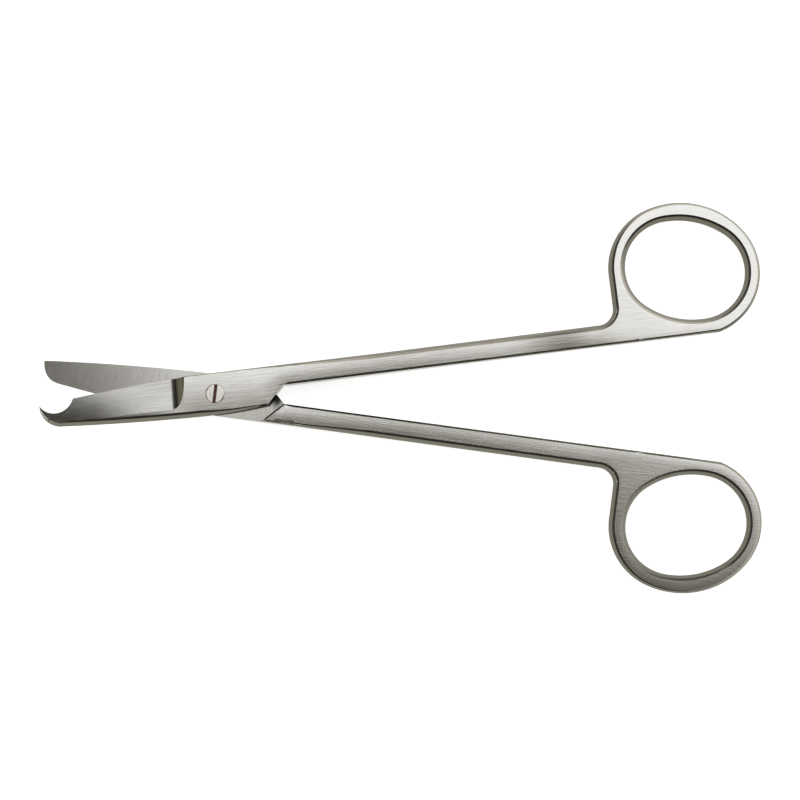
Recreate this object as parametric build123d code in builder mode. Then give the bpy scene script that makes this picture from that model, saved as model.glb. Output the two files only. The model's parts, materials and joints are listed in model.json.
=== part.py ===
from build123d import *
import os
from math import cos, radians, sin, sqrt

# Suture scissors: two forged halves lapped over each other and one slotted pivot screw.
# Millimetres. The origin is on the pivot axis, on the face that the scissors lie on.
# +X runs from the pivot to the finger rings and +Z up out of the screw head.
# Both halves are drawn shut, in a frame of their own with the pivot at its origin: x along
# the half towards its ring, y towards its ring's side, z from the mating plane outwards.

# Opening of the scissors as they lie, and the gap between the shanks when they are shut
opening_angle = 14.55
shank_gap = 0.30

# Joint: both laps together, and the slanted notch and shoulder that end them
joint_thickness = 4.40
joint_width = 8.00
lap_reach = 13.35
lap_gap = 0.25
notch_width = 3.28
shoulder_bevel = 0.35

# Shank, and how far before the pivot its edge starts on the joint
shank_width = 4.05
shank_length = 59.65
joint_edge_reach = 6.30

# Finger ring: an oval of tangent arcs that leans back over the shank, its hole, a little off its
# middle, and its web, whose fillet starts a foot's length past the end of the shank. The radius of
# an oval's ends falls short of half its breadth by a share of half its length over its breadth.
ring_thickness = 3.00
ring_length = 28.87
ring_breadth = 25.77
ring_end_share = 0.506
ring_lean = 19.8
foot_length = 0.99
rim_end_width = 3.00
rim_side_width = 3.51
hole_end_share = 0.243
hole_lean = 18.5
hole_forward = 0.22
hole_outward = 0.08
web_fillet = 3.1

# Rounding of the long edges
nose_radius = 1.10
hole_radius = 0.90
joint_edge_radius = 0.15

# Blades: reaches from the pivot along the half, and heights to either side of its axis
spine_bow_reach = 3.0
spine_bow_height = 3.90
spine_middle_reach = 17.3
spine_middle_height = 3.36
spine_end_reach = 30.1
spine_end_height = 2.48
edge_bow_reach = 17.5
edge_bow_height = 3.40
blade_tip_thickness = 1.25
hook_tip_reach = 33.9
hook_tip_height = 1.90
hook_corner_reach = 27.24
hook_corner_height = 2.57
hook_mouth_reach = 30.70
hook_mouth_height = 3.71
hook_mouth_radius = 3.60
plain_tip_reach = 33.6
plain_tip_height = 2.15
plain_nose_reach = 32.2
plain_nose_height = 1.11
plain_edge_reach = 27.6
plain_edge_height = 2.26
plain_edge_slope = 0.2

# Ground outer face of a blade, and the scoop that the wheel leaves beside the joint
scoop_reach = 8.5
scoop_radius = 2.7
scoop_sweep = 80.0
grind_line = 2.0
grind_slope = 0.31
grind_tip_line = 1.5
grind_tip_slope = 0.18
grind_tip_thickness = 1.20

# Pivot screw
head_diameter = 3.55
head_depth = 1.00
stem_diameter = 2.40
running_clearance = 0.03
thread_clearance = 0.01
slot_width = 0.55
slot_depth = 0.55
slot_angle = 84.0

# Places that follow from those sizes
lap = joint_thickness / 2
half_joint = joint_width / 2
inner = shank_gap / 2
outer = inner + shank_width
shank_end = lap_reach + shank_length
notch_line = lap_reach - lap_gap * sqrt(2)
notch_corner = (notch_line - notch_width, -notch_width)
cutting_edge_end = (-joint_edge_reach, half_joint)
spine_start = (-spine_bow_reach, -spine_bow_height)
spine_middle = (-spine_middle_reach, -spine_middle_height)
half_turn = radians(opening_angle / 2)
blade_reach = hook_tip_reach + nose_radius


def oval_radii(length, breadth, end_share):
    """Radii of an oval's two end arcs and of the two side arcs that are tangent to them."""
    excess = (length - breadth) / 2
    side_growth = (1 + 2 * end_share) / (2 * end_share)
    return breadth / 2 - end_share * excess, breadth / 2 + side_growth * excess


# Ring oval: half its reach along and across the half, its centre, and where it is tangent to its
# back and to its foot, whose edge lies half a nose below the ground mating side
lean = radians(ring_lean)
ring_end_radius, ring_side_radius = oval_radii(ring_length, ring_breadth, ring_end_share)
end_offset = ring_length / 2 - ring_end_radius
side_offset = ring_side_radius - ring_breadth / 2
ring_back = shank_end + foot_length + web_fillet
ring_centre = ring_back + ring_end_radius + end_offset * cos(lean)
ring_low = inner - nose_radius / 2
ring_rise = ring_low + ring_breadth / 2 + side_offset * (1 - cos(lean))
ring_back_rise = ring_rise + end_offset * sin(lean)
ring_foot = ring_centre + side_offset * sin(lean)

# Reach of a cutting body past what it cuts
past = 2 * joint_width


def face_height(x):
    """Height of the outer face over the mating plane: level on the joint, then a taper to the ring."""
    taper = min(1, max(0, (x - lap_reach) / shank_length))
    return lap + (ring_thickness / 2 - lap) * taper


def lies_along(edge):
    """Whether an edge runs along its half and not up through it."""
    return abs((edge % 0.5).Z) < 0.5


def on_a_face(edge):
    """Whether an edge of the ring lies in one of its two faces."""
    return abs((edge @ 0.5).Z) > ring_thickness / 3


def oval(length, breadth, end_share):
    """Oval of two end arcs and two side arcs, tangent to each other at its four knees."""
    end, side = oval_radii(length, breadth, end_share)
    side_growth = (1 + 2 * end_share) / (2 * end_share)
    knee_x = side * (1 + end_share) / (side_growth + end_share)
    knee_y = end * side_growth / (side_growth + end_share)
    with BuildSketch() as plan:
        with BuildLine():
            ThreePointArc((knee_x, -knee_y), (length / 2, 0), (knee_x, knee_y))
            ThreePointArc((knee_x, knee_y), (0, breadth / 2), (-knee_x, knee_y))
            ThreePointArc((-knee_x, knee_y), (-length / 2, 0), (-knee_x, -knee_y))
            ThreePointArc((-knee_x, -knee_y), (0, -breadth / 2), (knee_x, -knee_y))
        make_face()
    return plan.sketch


def shank_section(x, edge, nose):
    """Section of the shank: rounded all round, with half of a nose ground off the mating side."""
    top = face_height(x)
    breadth = edge - inner + nose / 2
    with BuildSketch(Plane.YZ.offset(x)) as section:
        with Locations((edge - breadth / 2, 0)):
            RectangleRounded(breadth, 2 * top, nose)
        with Locations((inner, 0)):
            Rectangle(breadth, 3 * top, align=(Align.MAX, Align.CENTER), mode=Mode.SUBTRACT)
    return section.sketch


def joint_outline(spine):
    """Lines from the cutting edge round the notch to the spine, bowed over the pivot."""
    inside = inner + shank_width / 4
    lap_end = [(-joint_edge_reach, inside), (notch_line + inside, inside), notch_corner]
    Polyline(cutting_edge_end, *lap_end)
    TangentArc(spine @ 0, notch_corner, tangent=spine % 0 * -1)


def lap_blank(plan):
    """Lap and blade on the mating plane, thinned to the tip, with a rounded spine."""
    front = -blade_reach - past
    tip = (-blade_reach, blade_tip_thickness)
    taper_end = [(shank_end, face_height(shank_end)), (shank_end, 0)]
    back_line = [(-scoop_reach, lap), (lap_reach, lap), *taper_end]
    front_line = [(front, 0), (front, blade_tip_thickness), tip]
    with BuildPart() as blank:
        extrude(plan, amount=lap)
        with BuildSketch(Plane.XZ):
            with BuildLine():
                Polyline(*back_line, *front_line)
                TangentArc((-scoop_reach, lap), tip, tangent=(-1, 0))
            make_face()
        extrude(amount=past, both=True, mode=Mode.INTERSECT)
        edges = blank.edges().filter_by(lies_along)
        top_edges = edges.filter_by(lambda e: (e @ 0.5).Z > blade_tip_thickness / 2)
        spine_edges = top_edges.filter_by(lambda e: (e @ 0.5).Y < 0 and (e @ 0.5).X < notch_corner[0])
        fillet(spine_edges, radius=nose_radius)
    return blank.part


def grind_section(y):
    """What the wheel takes off at y: a crowned face to the tip and the scoop's wall."""
    base = lap - grind_slope * (y + grind_line)
    end = grind_tip_thickness - grind_tip_slope * (y + grind_tip_line)
    tip = -blade_reach
    top = base + past
    sweep = radians(scoop_sweep)
    wall = (-scoop_reach + scoop_radius * sin(sweep), base + scoop_radius * (1 - cos(sweep)))
    with BuildSketch(Plane.XZ.offset(-y)) as section:
        with BuildLine():
            Bezier((tip, end), ((tip - scoop_reach) / 2, base), (-scoop_reach, base))
            TangentArc((-scoop_reach, base), wall, tangent=(1, 0))
            Polyline(wall, (wall[0], top), (tip - past, top), (tip - past, end), (tip, end))
        make_face()
    return section.sketch


# Finger ring and web with rounded rims and a ground mating side
with BuildPart() as ring:
    with BuildSketch() as ring_plan:
        with Locations((ring_centre, ring_rise)):
            add(oval(ring_length, ring_breadth, ring_end_share), rotation=-ring_lean)
        with BuildLine():
            web_foot = [(ring_foot, ring_low), (shank_end, ring_low), (shank_end, outer)]
            web_top = [(ring_back, outer), (ring_back, ring_back_rise), (ring_foot, ring_back_rise)]
            Polyline(*web_foot, *web_top, close=True)
        make_face()
        fillet(ring_plan.vertices().sort_by_distance((ring_back, outer, 0))[0], radius=web_fillet)
    extrude(amount=ring_thickness / 2, both=True)
    rim = ring.edges().filter_by(lies_along).filter_by(on_a_face)
    fillet(rim.filter_by(lambda e: (e @ 0.5).X > shank_end + lap_gap), radius=nose_radius)
    hole_length = ring_length - 2 * rim_end_width
    hole_breadth = ring_breadth - 2 * rim_side_width
    with BuildSketch():
        with Locations((ring_centre + hole_forward, ring_rise + hole_outward)):
            add(oval(hole_length, hole_breadth, hole_end_share), rotation=-hole_lean)
    extrude(amount=ring_thickness / 2, both=True, mode=Mode.SUBTRACT)
    fillet(ring.edges(Select.LAST).filter_by(on_a_face), radius=hole_radius)
    with BuildSketch():
        with Locations((ring_centre, inner)):
            Rectangle(2 * ring_length, ring_breadth, align=(Align.CENTER, Align.MAX))
    extrude(amount=ring_thickness / 2, both=True, mode=Mode.SUBTRACT)

# Handle, the same in both halves: a shank that runs from the joint to the ring's foot, and the
# ring, cut away under the lap to a bevelled shoulder
with BuildPart() as handle:
    stations = [
        shank_section(-joint_edge_reach, half_joint, joint_edge_radius),
        shank_section(lap_reach, half_joint, (joint_edge_radius + nose_radius) / 2),
        ring.faces().sort_by(Axis.X)[0],
    ]
    loft(sections=stations, ruled=True)
    add(ring.part)
    with BuildSketch(Plane(origin=(lap_reach, 0, 0), x_dir=(1, 1, 0), z_dir=(1, -1, 0))):
        with BuildLine():
            bevel_line = [(0, shoulder_bevel - lap), (past, shoulder_bevel - lap - past)]
            back_line = [(-2 * past, shoulder_bevel - lap - past), (-2 * past, 0)]
            Polyline((0, 0), *bevel_line, *back_line, close=True)
        make_face()
    extrude(amount=2 * past, both=True, mode=Mode.SUBTRACT)

# Hooked blade: bowed spine, round rim, hook mouth and bowed cutting edge
with BuildSketch() as hook_plan:
    with BuildLine():
        spine = ThreePointArc(spine_start, spine_middle, (-spine_end_reach, -spine_end_height))
        rim_arc = TangentArc(spine @ 1, (-hook_tip_reach, hook_tip_height), tangent=spine % 1)
        mouth = Line(rim_arc @ 1, (-hook_corner_reach, hook_corner_height))
        ThreePointArc(mouth @ 1, (-edge_bow_reach, edge_bow_height), cutting_edge_end)
        joint_outline(spine)
    make_face()
    with Locations((-hook_mouth_reach, hook_mouth_height)):
        Circle(hook_mouth_radius, mode=Mode.SUBTRACT)

# Plain blade: bowed spine, blunt nose and bowed cutting edge
with BuildSketch() as plain_plan:
    with BuildLine():
        spine = ThreePointArc(spine_start, spine_middle, (-plain_tip_reach, -plain_tip_height))
        nose_end = (-plain_edge_reach, plain_edge_height)
        nose_top = (-plain_nose_reach, plain_nose_height)
        Spline(spine @ 1, nose_top, nose_end, tangents=((0, 1), (1, plain_edge_slope)))
        ThreePointArc(nose_end, (-edge_bow_reach, edge_bow_height), cutting_edge_end)
        joint_outline(spine)
    make_face()

# Hook half, drawn shut: it carries the screw's head and turns on its stem
with BuildPart() as hook_forging:
    add(handle.part)
    add(lap_blank(hook_plan.sketch))
    wheel_cuts = [grind_section(-joint_width), grind_section(joint_width)]
    loft(sections=wheel_cuts, ruled=True, mode=Mode.SUBTRACT)
    with Locations((0, 0, lap)):
        CounterBoreHole(
            radius=stem_diameter / 2 + running_clearance,
            counter_bore_radius=head_diameter / 2 + running_clearance,
            counter_bore_depth=head_depth,
            depth=joint_thickness,
        )

# Plain half, drawn shut: the same forging with the blunt blade and the screw's thread
with BuildPart() as plain_forging:
    add(handle.part)
    add(lap_blank(plain_plan.sketch))
    wheel_cuts = [grind_section(-joint_width), grind_section(joint_width)]
    loft(sections=wheel_cuts, ruled=True, mode=Mode.SUBTRACT)
    with Locations((0, 0, lap)):
        Hole(radius=stem_diameter / 2 + thread_clearance, depth=joint_thickness)

# The halves as they lie: hook half on top, plain half turned over beneath it
with BuildPart() as hook_half:
    hook_axis = (cos(half_turn), sin(half_turn), 0)
    with Locations(Plane(origin=(0, 0, lap), x_dir=hook_axis, z_dir=(0, 0, 1)).location):
        add(hook_forging.part)

with BuildPart() as plain_half:
    plain_axis = (cos(half_turn), -sin(half_turn), 0)
    with Locations(Plane(origin=(0, 0, lap), x_dir=plain_axis, z_dir=(0, 0, -1)).location):
        add(plain_forging.part)

# Pivot screw, its head flush with the hook half and its end flush with the plain half
with BuildPart() as pivot_screw:
    with BuildSketch(Plane.XZ):
        with BuildLine():
            head_seat = joint_thickness - head_depth
            stem = [(0, 0), (stem_diameter / 2, 0), (stem_diameter / 2, head_seat)]
            head = [(head_diameter / 2, head_seat), (head_diameter / 2, joint_thickness)]
            Polyline(*stem, *head, (0, joint_thickness), close=True)
        make_face()
    revolve(axis=Axis.Z)
    with BuildSketch(Plane.XY.offset(joint_thickness)):
        Rectangle(2 * head_diameter, slot_width, rotation=slot_angle)
    extrude(amount=-slot_depth, mode=Mode.SUBTRACT)

hook_half.part.label = "hook_half"
plain_half.part.label = "plain_half"
pivot_screw.part.label = "pivot_screw"

os.makedirs("parts", exist_ok=True)
export_step(hook_half.part, "parts/hook_half.step")
export_step(plain_half.part, "parts/plain_half.step")
export_step(pivot_screw.part, "parts/pivot_screw.step")
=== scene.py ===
"""Suture scissors on a white table, lit by a soft sky and seen from the photo's side."""

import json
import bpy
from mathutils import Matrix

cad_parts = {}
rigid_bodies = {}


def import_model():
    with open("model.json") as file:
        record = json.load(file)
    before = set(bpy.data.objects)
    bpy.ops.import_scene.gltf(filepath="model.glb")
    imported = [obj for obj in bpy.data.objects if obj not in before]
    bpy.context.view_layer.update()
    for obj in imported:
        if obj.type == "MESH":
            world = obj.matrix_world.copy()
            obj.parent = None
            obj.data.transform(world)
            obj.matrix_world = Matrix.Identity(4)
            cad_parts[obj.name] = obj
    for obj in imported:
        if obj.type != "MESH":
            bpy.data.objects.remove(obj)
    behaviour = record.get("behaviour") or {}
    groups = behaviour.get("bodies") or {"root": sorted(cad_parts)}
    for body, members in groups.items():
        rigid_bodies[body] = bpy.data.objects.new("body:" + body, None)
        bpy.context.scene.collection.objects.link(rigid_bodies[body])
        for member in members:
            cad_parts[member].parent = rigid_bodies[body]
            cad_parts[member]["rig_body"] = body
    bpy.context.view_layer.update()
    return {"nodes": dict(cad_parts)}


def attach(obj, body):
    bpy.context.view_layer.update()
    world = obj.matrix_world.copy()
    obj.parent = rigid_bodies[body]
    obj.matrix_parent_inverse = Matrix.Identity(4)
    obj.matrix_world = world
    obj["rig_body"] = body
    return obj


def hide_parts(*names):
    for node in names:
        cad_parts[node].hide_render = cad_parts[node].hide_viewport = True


bl_info = {
    "name": "Suture Scissors",
    "version": (1, 0, 0),
    "blender": (4, 5, 0),
    "location": "3D View > Sidebar > Scissors",
    "description": "Finished surfaces, steel and studio of a pair of suture scissors",
    "category": "Object",
}

from math import cos, radians, sin, sqrt

import bmesh
import bpy
import numpy as np
from bpy.props import FloatProperty, FloatVectorProperty, PointerProperty
from bpy.types import Operator, Panel, PropertyGroup
from mathutils import Matrix, Vector

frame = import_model()

MM = 0.001
# Half of the angle between the two halves as they lie
HALF_TURN = radians(14.55 / 2)
# Distance at which points are one, and one past all others, in millimetres, and the sharpest
# turn that is shaded smooth
MERGE = 0.0002
FAR = 99.0
CREASE = radians(9.5)

# Rounded edges: share of the width that the narrow facet takes, its slope over the smaller of
# width and drop, and the power by which the flank beside it falls
FACET_SHARE = 0.40
FACET_SLOPE = 0.45
FLANK_POWER = 1.12

# Sizes of one half in its own closed frame, in millimetres: x towards the ring, y to the ring's
# side, z from the mating plane outwards. These are the solids' own, so they stay as they are.
LAP = 2.2
JOINT_EDGE = 4.0
LAP_REACH = 13.35
NOTCH_CORNER = (9.716, -3.28)
INNER = 0.15
OUTER = 4.20
SHANK_END = 73.0
RING_HALF = 1.5
SHOULDER_BEVEL = 0.35
STEEP_EDGE = 17.0
PIVOT_BLOCK = 2.8
SHOULDER_TOP = LAP_REACH - JOINT_EDGE
BEVEL_REACH = SHOULDER_BEVEL * sqrt(2)
KINK = (LAP_REACH - INNER, INNER)

# Widths of the rounded edges where they aren't the user's edge width: at the notch, at the end
# of the shoulder's ledge, along a sharp line, along the joint's upper side, where the shoulder
# ends, along the shank's inner side with the drop there, and at a cutting edge, plain and
# hooked. An edge falls by no more than the deepest share of the face's height.
NOTCH_ROUND = 0.3
LEDGE_ROUND = 0.25
SHARP = 0.02
JOINT_ROUND = (0.15, 0.2)
SHOULDER_ROUND = 0.55
INNER_ROUND, INNER_DROP = 0.4, 0.35
CUTTING_ROUND = (0.03, 0.06)
DEEPEST = 0.85
# Where the inner side's width is full past the kink, and the shank's outer side has the user's
INNER_EASE = 0.6
SHANK_EASE_END = 30.0

# Blades: spine, hook, mouth, nose and cutting edge
SPINE_START = (-3.0, -3.9)
SPINE_MIDDLE = (-17.3, -3.36)
HOOK_SPINE_END = (-30.1, -2.48)
HOOK_TIP = (-33.9, 1.9)
HOOK_CORNER = (-27.24, 2.57)
MOUTH_CENTRE = (-30.70, 3.71)
MOUTH_RADIUS = 3.60
PLAIN_TIP = (-33.6, -2.15)
PLAIN_NOSE = (-32.2, 1.11)
PLAIN_EDGE = (-27.6, 2.26)
PLAIN_EDGE_SLOPE = 0.2
EDGE_BOW = (-17.5, 3.40)
EDGE_END = (-6.3, 4.0)
# Places at which the rounding along the upper line changes from the cutting edge's to the joint's
# and grows to the shoulder's
TOP_STOPS = (EDGE_END[0] - 0.3, EDGE_END[0] + 0.1, 6.0, STEEP_EDGE)

# Ground faces: where the blade's crown starts and would end, slope and line of the grind at the
# joint and at the tip, the scoop with the place from which its wall is rough and darkened by the
# edge finish's painted shade, and a height past all faces
CROWN_START = -8.5
BLADE_REACH = -35.0
TIP_THICKNESS = 1.25
GRIND_SLOPE = 0.31
GRIND_LINE = 2.0
GRIND_TIP = 1.20
GRIND_TIP_SLOPE = 0.18
GRIND_TIP_LINE = 1.5
SCOOP_DEPTH = 3.05
SCOOP_RISE = 2.5
SCOOP_SQUARENESS = 2.4
SCOOP_END = CROWN_START + SCOOP_DEPTH
SCOOP_WALL = CROWN_START + 0.26 * SCOOP_DEPTH
NO_GROUND = 9.0

# Crown: places along the half, its height there as a share of the user's crown, and how far from
# an edge it is full. Twist: its middle, its spread and the line that it turns about
CROWN_PLACES, CROWN_SHARES = (-8.0, -4.0, 18.0, 60.0), (0.0, 1.8, 1.0, 0.8)
CROWN_STOPS, CROWN_REACHES = (8.0, 18.0, 73.0, 79.0), (4.0, 2.05, 2.05, 1.6)
TWIST_MIDDLE, TWIST_SPREAD, TWIST_LINE = 67.0, 7.0, 2.1

# Ring, hole and web: offset of the hole, length, breadth, end share and lean of each oval, the
# web's foot and fillet, and the last turn of the ring before its foot
RING_CENTRE_OFFSET = (0.22, 0.08)
RING_SIZE = (28.87, 25.77, 0.506, radians(19.8))
HOLE_SIZE = (22.87, 18.75, 0.243, radians(18.5))
FOOT_LENGTH = 0.99
WEB_FILLET = 3.1
WEB_FOOT_PAST_BACK = 3.86
TAIL_TURN = 0.6
RING_LOW = -0.40
# Rounding around the ring: bearings from its centre, widths there and drops there, where None
# stands for the user's edge width
RIM_BEARINGS = (0, 60, 120, 160, 200, 224, 262, 300, 360)
RIM_WIDTHS = (0.6, 0.5, 0.65, None, None, 0.4, 0.4, 0.5, 0.6)
RIM_DROPS = (0.6, 0.5, 0.65, None, None, 0.26, 0.26, 0.5, 0.6)
# Share of the ring's outline, from the web's fillet on, that has the user's edge too
FILLET_SHARE = 0.1

# Screw and its seats
HEAD_RADIUS = 1.775
HEAD_DEPTH = 1.0
STEM_RADIUS = 1.2
RUNNING_CLEARANCE = 0.03
THREAD_CLEARANCE = 0.01
SLOT_HALF = 0.275
SLOT_DEPTH = 0.55
SLOT_TURN = radians(84.0)
SLOT_ROUND, SLOT_DROP = 0.06, 0.05
HEAD_ROUND, HEAD_DROP = 0.1, 0.07
SEAT_BREAK = 0.05


def arc_through(start, middle, end, count):
    """Circular arc: its centre is as far from start, middle and end."""
    p, q, r = (np.array(v, float) for v in (start, middle, end))
    matrix = 2 * np.array([q - p, r - p])
    centre = np.linalg.solve(matrix, np.array([q @ q - p @ p, r @ r - p @ p]))
    angles = np.unwrap([np.arctan2(*(v - centre)[::-1]) for v in (p, q, r)])
    turn = np.linspace(angles[0], angles[2], count)
    return centre + np.hypot(*(p - centre)) * np.stack([np.cos(turn), np.sin(turn)], 1)


def arc_from(start, tangent, end, count):
    """Circular arc that leaves start along tangent and ends at end: a point at share u of its
    turn lies at the chord sin(u a) / sin(a) from start, turned by (1 - u) a from the chord."""
    p, q = np.array(start, float), np.array(end, float)
    chord = q - p
    lean = np.arctan2(*chord[::-1]) - np.arctan2(*np.array(tangent)[::-1])
    lean = (lean + np.pi) % (2 * np.pi) - np.pi
    share = np.linspace(0, 1, count)
    length = np.hypot(*chord) * np.sin(share * lean) / np.sin(lean)
    turn = np.arctan2(*chord[::-1]) - (1 - share) * lean
    return p + length[:, None] * np.stack([np.cos(turn), np.sin(turn)], 1)


def spaced(points, count):
    """The same line with count points, evenly spaced along its length."""
    steps = np.hypot(*np.diff(points, axis=0).T)
    run = np.concatenate([[0], np.cumsum(steps)])
    at = np.linspace(0, run[-1], count)
    return np.stack([np.interp(at, run, points[:, k]) for k in (0, 1)], 1)


def at_x(points, stations):
    """Points of a line that runs towards +x, at given x."""
    return np.stack([stations, np.interp(stations, points[:, 0], points[:, 1])], 1)


def joined(*runs):
    """One line from runs that meet end to end, each shared point kept once."""
    return np.concatenate([runs[0], *(run[1:] for run in runs[1:])])


def oval(length, breadth, share, lean, count):
    """Closed oval of two end arcs and two side arcs, leaned back by lean: the end radius falls
    short of half the breadth by share of half the excess of length over breadth."""
    excess = (length - breadth) / 2
    growth = (1 + 2 * share) / (2 * share)
    end, side = breadth / 2 - share * excess, breadth / 2 + growth * excess
    turn = np.linspace(0, 2 * np.pi, count)
    knee = np.arctan2(side - breadth / 2, length / 2 - end)
    sine = np.abs(np.sin(turn))
    on_end = np.abs(np.cos(turn)) * np.sin(knee) > sine * np.cos(knee)
    signs = np.sign(np.cos(turn)), np.sign(np.sin(turn))
    middle_x = np.where(on_end, (length / 2 - end) * signs[0], 0.0)
    middle_y = np.where(on_end, 0.0, (breadth / 2 - side) * signs[1])
    radius = np.where(on_end, end, side)
    x, y = middle_x + radius * np.cos(turn), middle_y + radius * np.sin(turn)
    c, s = cos(lean), sin(lean)
    return np.stack([x * c + y * s, y * c - x * s], 1)


# Grid of a half, across: shares over the joint's flat and over the shank's, steps over the
# rounded lower edge, the ground face or lap, the rounded upper edge and the shank's lower edge,
# and the steps of the joint's last column up to the kink
FLAT_SHARES = (0.02, 0.2, 0.45, 0.72, 1.0)
MIDDLE_SHARES = (0.05, 0.2, 0.35, 0.5, 0.65, 0.8, 0.95, 1.0)
LOW_STEPS, GROUND_STEPS, HIGH_STEPS, SHANK_LOW = 13, 14, 13, 7
ACROSS = LOW_STEPS + len(FLAT_SHARES) + GROUND_STEPS + HIGH_STEPS
SHANK_ACROSS = SHANK_LOW + len(MIDDLE_SHARES) + HIGH_STEPS
NOTCH_STEPS = ACROSS - SHANK_ACROSS
# Power that crowds the lap's rows towards its free edge, the share at which its bevel starts and
# the steps over which it fades at the kink
LAP_CROWDING = 1.6
LAP_BEVEL_START = 0.88
LAP_BEVEL_FADE = 3
# Where the handle's fan of columns starts to widen its rounding
FAN_START = 9.0
# Trial shares of a column on which a rounding's end and the ground face's border are looked up
ROUND_TRIALS, BORDER_TRIALS = np.linspace(0, 0.6, 61), np.linspace(0, 1, 401)
# Border of the ground face: its share right of the scoop and how much that grows up to the scoop,
# its least distance from the lower edge and its largest share
BORDER_SHARE, BORDER_GROWTH, BORDER_MARGIN, BORDER_END = 0.5, 0.45, 0.01, 0.96
# Largest shares of a blade's column for the lower and the upper rounding, and least upper width
LOW_SHARE_END, HIGH_SHARE_END, HIGH_LEAST = 0.5, 0.3, 0.1
# Rows of the joint's grid between which the screw's seat is cut, and rings from them to it
SEAT_ROWS = (LOW_STEPS, LOW_STEPS + len(FLAT_SHARES) + 10)
SEAT_RINGS = 7
# Grid along the blades: stations over the hook's tip, its mouth's far side, the plain blade's
# nose, the cutting edge and the scoop
TIP_STATIONS, MOUTH_STATIONS, NOSE_STATIONS = 31, 23, 45
EDGE_STATIONS, SCOOP_STATIONS = 64, 49
# Grid along the rest: either side of the pivot, the pivot, the lap, the shank, each half of the
# web's fillet, the ring's side next to it, the ring and its foot
NEAR_STATIONS, PIVOT_STATIONS, LAP_STATIONS, SHANK_STATIONS = 13, 29, 14, 72
FILLET_STATIONS, SIDE_STATIONS, RING_STATIONS, FOOT_STATIONS = 9, 12, 180, 18


def round_steps(count):
    """Shares of a rounded edge's width from the outline inwards: across the steep flank in even
    steps, then across the narrow facet."""
    flank = round(count * (1 - FACET_SHARE))
    return np.concatenate([
        np.linspace(0, 1 - FACET_SHARE, flank + 1),
        np.linspace(1 - FACET_SHARE, 1, count - flank + 1)[1:],
    ])


def edge_height(x):
    """Height of the shank's outer edge line over the half's own axis."""
    return np.interp(x, [LAP_REACH, SHANK_END], [JOINT_EDGE, OUTER])


def nose_line(count):
    """Blunt nose of the plain blade: two cubics through its three points, smooth where they
    meet, that leave the tip upwards and reach the cutting edge at its slope."""
    tip, middle, edge = (np.array(v, float) for v in (PLAIN_TIP, PLAIN_NOSE, PLAIN_EDGE))
    first, last = np.array([0.0, 1.0]), np.array([1.0, PLAIN_EDGE_SLOPE])
    last /= np.hypot(*last)
    one, two = np.hypot(*(middle - tip)), np.hypot(*(edge - middle))
    rise = 3 * ((middle - tip) / one**2 + (edge - middle) / two**2)
    slope = (rise - first / one - last / two) / (2 / one + 2 / two)
    u = np.linspace(0, 1, count)[:, None]

    def cubic(start, end, leave, arrive, reach):
        """Cubic from start to end with the slopes leave and arrive."""
        ease = u * u * (3 - 2 * u)
        return (
            start * (1 - ease) + end * ease
            + reach * (leave * u * (1 - u) ** 2 - arrive * u * u * (1 - u))
        )

    return joined(cubic(tip, middle, first, slope, one), cubic(middle, edge, slope, last, two))


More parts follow.
